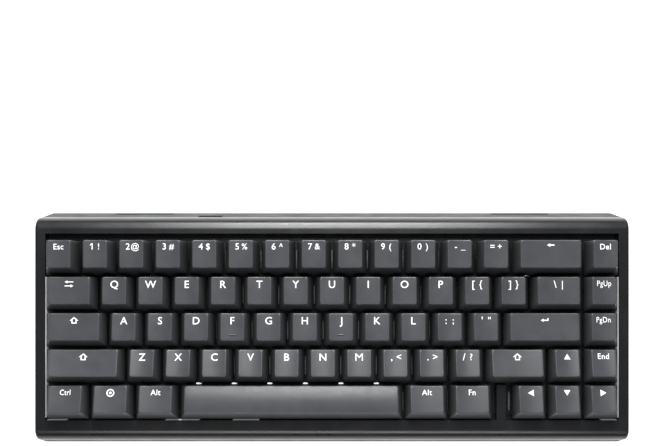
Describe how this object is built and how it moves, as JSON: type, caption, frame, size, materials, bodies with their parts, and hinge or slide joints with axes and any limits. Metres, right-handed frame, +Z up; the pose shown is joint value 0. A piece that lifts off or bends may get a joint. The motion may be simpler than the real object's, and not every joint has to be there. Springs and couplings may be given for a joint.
{
  "type": "mechanical keyboard",
  "caption": "Compact five-row mechanical keyboard: sprung stepped keycaps in a wedge-shaped two-piece case with a raised rim, rubber pads, folding rear feet and a rear charging socket.",
  "frame": {"origin": "on the desk under the middle of the case's footprint", "axes": "+X to the typist's right, +Y away from the typist, +Z up; the deck is tilted 6 degrees, back edge up"},
  "size_m": [0.3178, 0.1284, 0.0393],
  "materials": {
    "case_plastic": "satin black with a fine grain",
    "keycap_plastic": "satin dark grey",
    "plate_steel": "black satin coat",
    "board_laminate": "black solder mask",
    "switch_cover": "smoky clear",
    "switch_base": "black nylon",
    "spring_steel": "bright",
    "lamp_lens": "white lens",
    "socket_shell": "nickel",
    "chip_resin": "black epoxy",
    "screw_steel": "black zinc",
    "pad_rubber": "matt black",
    "stabiliser_plastic": "black nylon",
    "wire_steel": "bright",
    "foot_plastic": "satin black"
  },
  "bodies": {
    "case": {"top_case": "case_plastic", "bottom_case": "case_plastic", "switch_plate": "plate_steel", "circuit_board": "board_laminate", "switch_upper_housings": "switch_cover", "switch_lower_housings": "switch_base", "switch_springs": "spring_steel", "led_lamps": "lamp_lens", "usb_socket": "socket_shell", "controller_chips": "chip_resin", "case_screws": "screw_steel", "plate_screws": "screw_steel", "rubber_pads": "pad_rubber", "stabiliser_housings": "stabiliser_plastic", "stabiliser_wires": "wire_steel"},
    "foot_left": {"flip_foot_left": "foot_plastic"},
    "foot_right": {"flip_foot_right": "foot_plastic"},
    "key_esc": {"key_esc": "keycap_plastic"},
    "key_n1_n2": {"key_n1_n2": "keycap_plastic"},
    "key_n3_n4": {"key_n3_n4": "keycap_plastic"},
    "key_n5_n6": {"key_n5_n6": "keycap_plastic"},
    "key_n7_n8": {"key_n7_n8": "keycap_plastic"},
    "key_n9_n0": {"key_n9_n0": "keycap_plastic"},
    "key_minus_equals": {"key_minus_equals": "keycap_plastic"},
    "key_backspace": {"key_backspace": "keycap_plastic"},
    "key_delete": {"key_delete": "keycap_plastic"},
    "key_tab": {"key_tab": "keycap_plastic"},
    "key_q_w": {"key_q_w": "keycap_plastic"},
    "key_e_r": {"key_e_r": "keycap_plastic"},
    "key_t_y": {"key_t_y": "keycap_plastic"},
    "key_u_i": {"key_u_i": "keycap_plastic"},
    "key_o_p": {"key_o_p": "keycap_plastic"},
    "key_left_bracket_right_bracket": {"key_left_bracket_right_bracket": "keycap_plastic"},
    "key_backslash": {"key_backslash": "keycap_plastic"},
    "key_page_up_page_down": {"key_page_up_page_down": "keycap_plastic"},
    "key_caps_lock": {"key_caps_lock": "keycap_plastic"},
    "key_a_s": {"key_a_s": "keycap_plastic"},
    "key_d_f": {"key_d_f": "keycap_plastic"},
    "key_g_h": {"key_g_h": "keycap_plastic"},
    "key_j_k": {"key_j_k": "keycap_plastic"},
    "key_l_semicolon": {"key_l_semicolon": "keycap_plastic"},
    "key_apostrophe": {"key_apostrophe": "keycap_plastic"},
    "key_enter": {"key_enter": "keycap_plastic"},
    "key_left_shift": {"key_left_shift": "keycap_plastic"},
    "key_z_x": {"key_z_x": "keycap_plastic"},
    "key_c_v": {"key_c_v": "keycap_plastic"},
    "key_b_n": {"key_b_n": "keycap_plastic"},
    "key_m_comma": {"key_m_comma": "keycap_plastic"},
    "key_period_slash": {"key_period_slash": "keycap_plastic"},
    "key_right_shift": {"key_right_shift": "keycap_plastic"},
    "key_up": {"key_up": "keycap_plastic"},
    "key_end": {"key_end": "keycap_plastic"},
    "key_control": {"key_control": "keycap_plastic"},
    "key_super": {"key_super": "keycap_plastic"},
    "key_left_alt_right_alt": {"key_left_alt_right_alt": "keycap_plastic"},
    "key_space": {"key_space": "keycap_plastic"},
    "key_function": {"key_function": "keycap_plastic"},
    "key_left": {"key_left": "keycap_plastic"},
    "key_down": {"key_down": "keycap_plastic"},
    "key_right": {"key_right": "keycap_plastic"}
  },
  "joints": [
    {"name": "press_esc", "type": "slide", "parent": "case", "child": "key_esc", "axis": [0, 0.1045, -0.9945], "range_m": [0, 0.004], "stiffness_N_per_m": 70, "springref_m": -0.004, "deforming": ["switch_springs"]},
    {"name": "press_n1_n2", "type": "slide", "parent": "case", "child": "key_n1_n2", "axis": [0, 0.1045, -0.9945], "range_m": [0, 0.004], "stiffness_N_per_m": 140, "springref_m": -0.004, "deforming": ["switch_springs"]},
    {"name": "press_n3_n4", "type": "slide", "parent": "case", "child": "key_n3_n4", "axis": [0, 0.1045, -0.9945], "range_m": [0, 0.004], "stiffness_N_per_m": 140, "springref_m": -0.004, "deforming": ["switch_springs"]},
    {"name": "press_n5_n6", "type": "slide", "parent": "case", "child": "key_n5_n6", "axis": [0, 0.1045, -0.9945], "range_m": [0, 0.004], "stiffness_N_per_m": 140, "springref_m": -0.004, "deforming": ["switch_springs"]},
    {"name": "press_n7_n8", "type": "slide", "parent": "case", "child": "key_n7_n8", "axis": [0, 0.1045, -0.9945], "range_m": [0, 0.004], "stiffness_N_per_m": 140, "springref_m": -0.004, "deforming": ["switch_springs"]},
    {"name": "press_n9_n0", "type": "slide", "parent": "case", "child": "key_n9_n0", "axis": [0, 0.1045, -0.9945], "range_m": [0, 0.004], "stiffness_N_per_m": 140, "springref_m": -0.004, "deforming": ["switch_springs"]},
    {"name": "press_minus_equals", "type": "slide", "parent": "case", "child": "key_minus_equals", "axis": [0, 0.1045, -0.9945], "range_m": [0, 0.004], "stiffness_N_per_m": 140, "springref_m": -0.004, "deforming": ["switch_springs"]},
    {"name": "press_backspace", "type": "slide", "parent": "case", "child": "key_backspace", "axis": [0, 0.1045, -0.9945], "range_m": [0, 0.004], "stiffness_N_per_m": 70, "springref_m": -0.004, "deforming": ["switch_springs"]},
    {"name": "press_delete", "type": "slide", "parent": "case", "child": "key_delete", "axis": [0, 0.1045, -0.9945], "range_m": [0, 0.004], "stiffness_N_per_m": 70, "springref_m": -0.004, "deforming": ["switch_springs"]},
    {"name": "press_tab", "type": "slide", "parent": "case", "child": "key_tab", "axis": [0, 0.1045, -0.9945], "range_m": [0, 0.004], "stiffness_N_per_m": 70, "springref_m": -0.004, "deforming": ["switch_springs"]},
    {"name": "press_q_w", "type": "slide", "parent": "case", "child": "key_q_w", "axis": [0, 0.1045, -0.9945], "range_m": [0, 0.004], "stiffness_N_per_m": 140, "springref_m": -0.004, "deforming": ["switch_springs"]},
    {"name": "press_e_r", "type": "slide", "parent": "case", "child": "key_e_r", "axis": [0, 0.1045, -0.9945], "range_m": [0, 0.004], "stiffness_N_per_m": 140, "springref_m": -0.004, "deforming": ["switch_springs"]},
    {"name": "press_t_y", "type": "slide", "parent": "case", "child": "key_t_y", "axis": [0, 0.1045, -0.9945], "range_m": [0, 0.004], "stiffness_N_per_m": 140, "springref_m": -0.004, "deforming": ["switch_springs"]},
    {"name": "press_u_i", "type": "slide", "parent": "case", "child": "key_u_i", "axis": [0, 0.1045, -0.9945], "range_m": [0, 0.004], "stiffness_N_per_m": 140, "springref_m": -0.004, "deforming": ["switch_springs"]},
    {"name": "press_o_p", "type": "slide", "parent": "case", "child": "key_o_p", "axis": [0, 0.1045, -0.9945], "range_m": [0, 0.004], "stiffness_N_per_m": 140, "springref_m": -0.004, "deforming": ["switch_springs"]},
    {"name": "press_left_bracket_right_bracket", "type": "slide", "parent": "case", "child": "key_left_bracket_right_bracket", "axis": [0, 0.1045, -0.9945], "range_m": [0, 0.004], "stiffness_N_per_m": 140, "springref_m": -0.004, "deforming": ["switch_springs"]},
    {"name": "press_backslash", "type": "slide", "parent": "case", "child": "key_backslash", "axis": [0, 0.1045, -0.9945], "range_m": [0, 0.004], "stiffness_N_per_m": 70, "springref_m": -0.004, "deforming": ["switch_springs"]},
    {"name": "press_page_up_page_down", "type": "slide", "parent": "case", "child": "key_page_up_page_down", "axis": [0, 0.1045, -0.9945], "range_m": [0, 0.004], "stiffness_N_per_m": 140, "springref_m": -0.004, "deforming": ["switch_springs"]},
    {"name": "press_caps_lock", "type": "slide", "parent": "case", "child": "key_caps_lock", "axis": [0, 0.1045, -0.9945], "range_m": [0, 0.004], "stiffness_N_per_m": 70, "springref_m": -0.004, "deforming": ["switch_springs"]},
    {"name": "press_a_s", "type": "slide", "parent": "case", "child": "key_a_s", "axis": [0, 0.1045, -0.9945], "range_m": [0, 0.004], "stiffness_N_per_m": 140, "springref_m": -0.004, "deforming": ["switch_springs"]},
    {"name": "press_d_f", "type": "slide", "parent": "case", "child": "key_d_f", "axis": [0, 0.1045, -0.9945], "range_m": [0, 0.004], "stiffness_N_per_m": 140, "springref_m": -0.004, "deforming": ["switch_springs"]},
    {"name": "press_g_h", "type": "slide", "parent": "case", "child": "key_g_h", "axis": [0, 0.1045, -0.9945], "range_m": [0, 0.004], "stiffness_N_per_m": 140, "springref_m": -0.004, "deforming": ["switch_springs"]},
    {"name": "press_j_k", "type": "slide", "parent": "case", "child": "key_j_k", "axis": [0, 0.1045, -0.9945], "range_m": [0, 0.004], "stiffness_N_per_m": 140, "springref_m": -0.004, "deforming": ["switch_springs"]},
    {"name": "press_l_semicolon", "type": "slide", "parent": "case", "child": "key_l_semicolon", "axis": [0, 0.1045, -0.9945], "range_m": [0, 0.004], "stiffness_N_per_m": 140, "springref_m": -0.004, "deforming": ["switch_springs"]},
    {"name": "press_apostrophe", "type": "slide", "parent": "case", "child": "key_apostrophe", "axis": [0, 0.1045, -0.9945], "range_m": [0, 0.004], "stiffness_N_per_m": 70, "springref_m": -0.004, "deforming": ["switch_springs"]},
    {"name": "press_enter", "type": "slide", "parent": "case", "child": "key_enter", "axis": [0, 0.1045, -0.9945], "range_m": [0, 0.004], "stiffness_N_per_m": 70, "springref_m": -0.004, "deforming": ["switch_springs"]},
    {"name": "press_left_shift", "type": "slide", "parent": "case", "child": "key_left_shift", "axis": [0, 0.1045, -0.9945], "range_m": [0, 0.004], "stiffness_N_per_m": 70, "springref_m": -0.004, "deforming": ["switch_springs"]},
    {"name": "press_z_x", "type": "slide", "parent": "case", "child": "key_z_x", "axis": [0, 0.1045, -0.9945], "range_m": [0, 0.004], "stiffness_N_per_m": 140, "springref_m": -0.004, "deforming": ["switch_springs"]},
    {"name": "press_c_v", "type": "slide", "parent": "case", "child": "key_c_v", "axis": [0, 0.1045, -0.9945], "range_m": [0, 0.004], "stiffness_N_per_m": 140, "springref_m": -0.004, "deforming": ["switch_springs"]},
    {"name": "press_b_n", "type": "slide", "parent": "case", "child": "key_b_n", "axis": [0, 0.1045, -0.9945], "range_m": [0, 0.004], "stiffness_N_per_m": 140, "springref_m": -0.004, "deforming": ["switch_springs"]},
    {"name": "press_m_comma", "type": "slide", "parent": "case", "child": "key_m_comma", "axis": [0, 0.1045, -0.9945], "range_m": [0, 0.004], "stiffness_N_per_m": 140, "springref_m": -0.004, "deforming": ["switch_springs"]},
    {"name": "press_period_slash", "type": "slide", "parent": "case", "child": "key_period_slash", "axis": [0, 0.1045, -0.9945], "range_m": [0, 0.004], "stiffness_N_per_m": 140, "springref_m": -0.004, "deforming": ["switch_springs"]},
    {"name": "press_right_shift", "type": "slide", "parent": "case", "child": "key_right_shift", "axis": [0, 0.1045, -0.9945], "range_m": [0, 0.004], "stiffness_N_per_m": 70, "springref_m": -0.004, "deforming": ["switch_springs"]},
    {"name": "press_up", "type": "slide", "parent": "case", "child": "key_up", "axis": [0, 0.1045, -0.9945], "range_m": [0, 0.004], "stiffness_N_per_m": 70, "springref_m": -0.004, "deforming": ["switch_springs"]},
    {"name": "press_end", "type": "slide", "parent": "case", "child": "key_end", "axis": [0, 0.1045, -0.9945], "range_m": [0, 0.004], "stiffness_N_per_m": 70, "springref_m": -0.004, "deforming": ["switch_springs"]},
    {"name": "press_control", "type": "slide", "parent": "case", "child": "key_control", "axis": [0, 0.1045, -0.9945], "range_m": [0, 0.004], "stiffness_N_per_m": 70, "springref_m": -0.004, "deforming": ["switch_springs"]},
    {"name": "press_super", "type": "slide", "parent": "case", "child": "key_super", "axis": [0, 0.1045, -0.9945], "range_m": [0, 0.004], "stiffness_N_per_m": 70, "springref_m": -0.004, "deforming": ["switch_springs"]},
    {"name": "press_left_alt_right_alt", "type": "slide", "parent": "case", "child": "key_left_alt_right_alt", "axis": [0, 0.1045, -0.9945], "range_m": [0, 0.004], "stiffness_N_per_m": 140, "springref_m": -0.004, "deforming": ["switch_springs"]},
    {"name": "press_space", "type": "slide", "parent": "case", "child": "key_space", "axis": [0, 0.1045, -0.9945], "range_m": [0, 0.004], "stiffness_N_per_m": 91, "springref_m": -0.004, "deforming": ["switch_springs"]},
    {"name": "press_function", "type": "slide", "parent": "case", "child": "key_function", "axis": [0, 0.1045, -0.9945], "range_m": [0, 0.004], "stiffness_N_per_m": 70, "springref_m": -0.004, "deforming": ["switch_springs"]},
    {"name": "press_left", "type": "slide", "parent": "case", "child": "key_left", "axis": [0, 0.1045, -0.9945], "range_m": [0, 0.004], "stiffness_N_per_m": 70, "springref_m": -0.004, "deforming": ["switch_springs"]},
    {"name": "press_down", "type": "slide", "parent": "case", "child": "key_down", "axis": [0, 0.1045, -0.9945], "range_m": [0, 0.004], "stiffness_N_per_m": 70, "springref_m": -0.004, "deforming": ["switch_springs"]},
    {"name": "press_right", "type": "slide", "parent": "case", "child": "key_right", "axis": [0, 0.1045, -0.9945], "range_m": [0, 0.004], "stiffness_N_per_m": 70, "springref_m": -0.004, "deforming": ["switch_springs"]},
    {"name": "unfold_foot_left", "type": "hinge", "parent": "case", "child": "foot_left", "pos_m": [-0.1049, 0.05858, 0.0024], "axis": [1, 0, 0], "range_deg": [0, 95]},
    {"name": "unfold_foot_right", "type": "hinge", "parent": "case", "child": "foot_right", "pos_m": [0.1049, 0.05858, 0.0024], "axis": [1, 0, 0], "range_deg": [0, 95]}
  ]
}
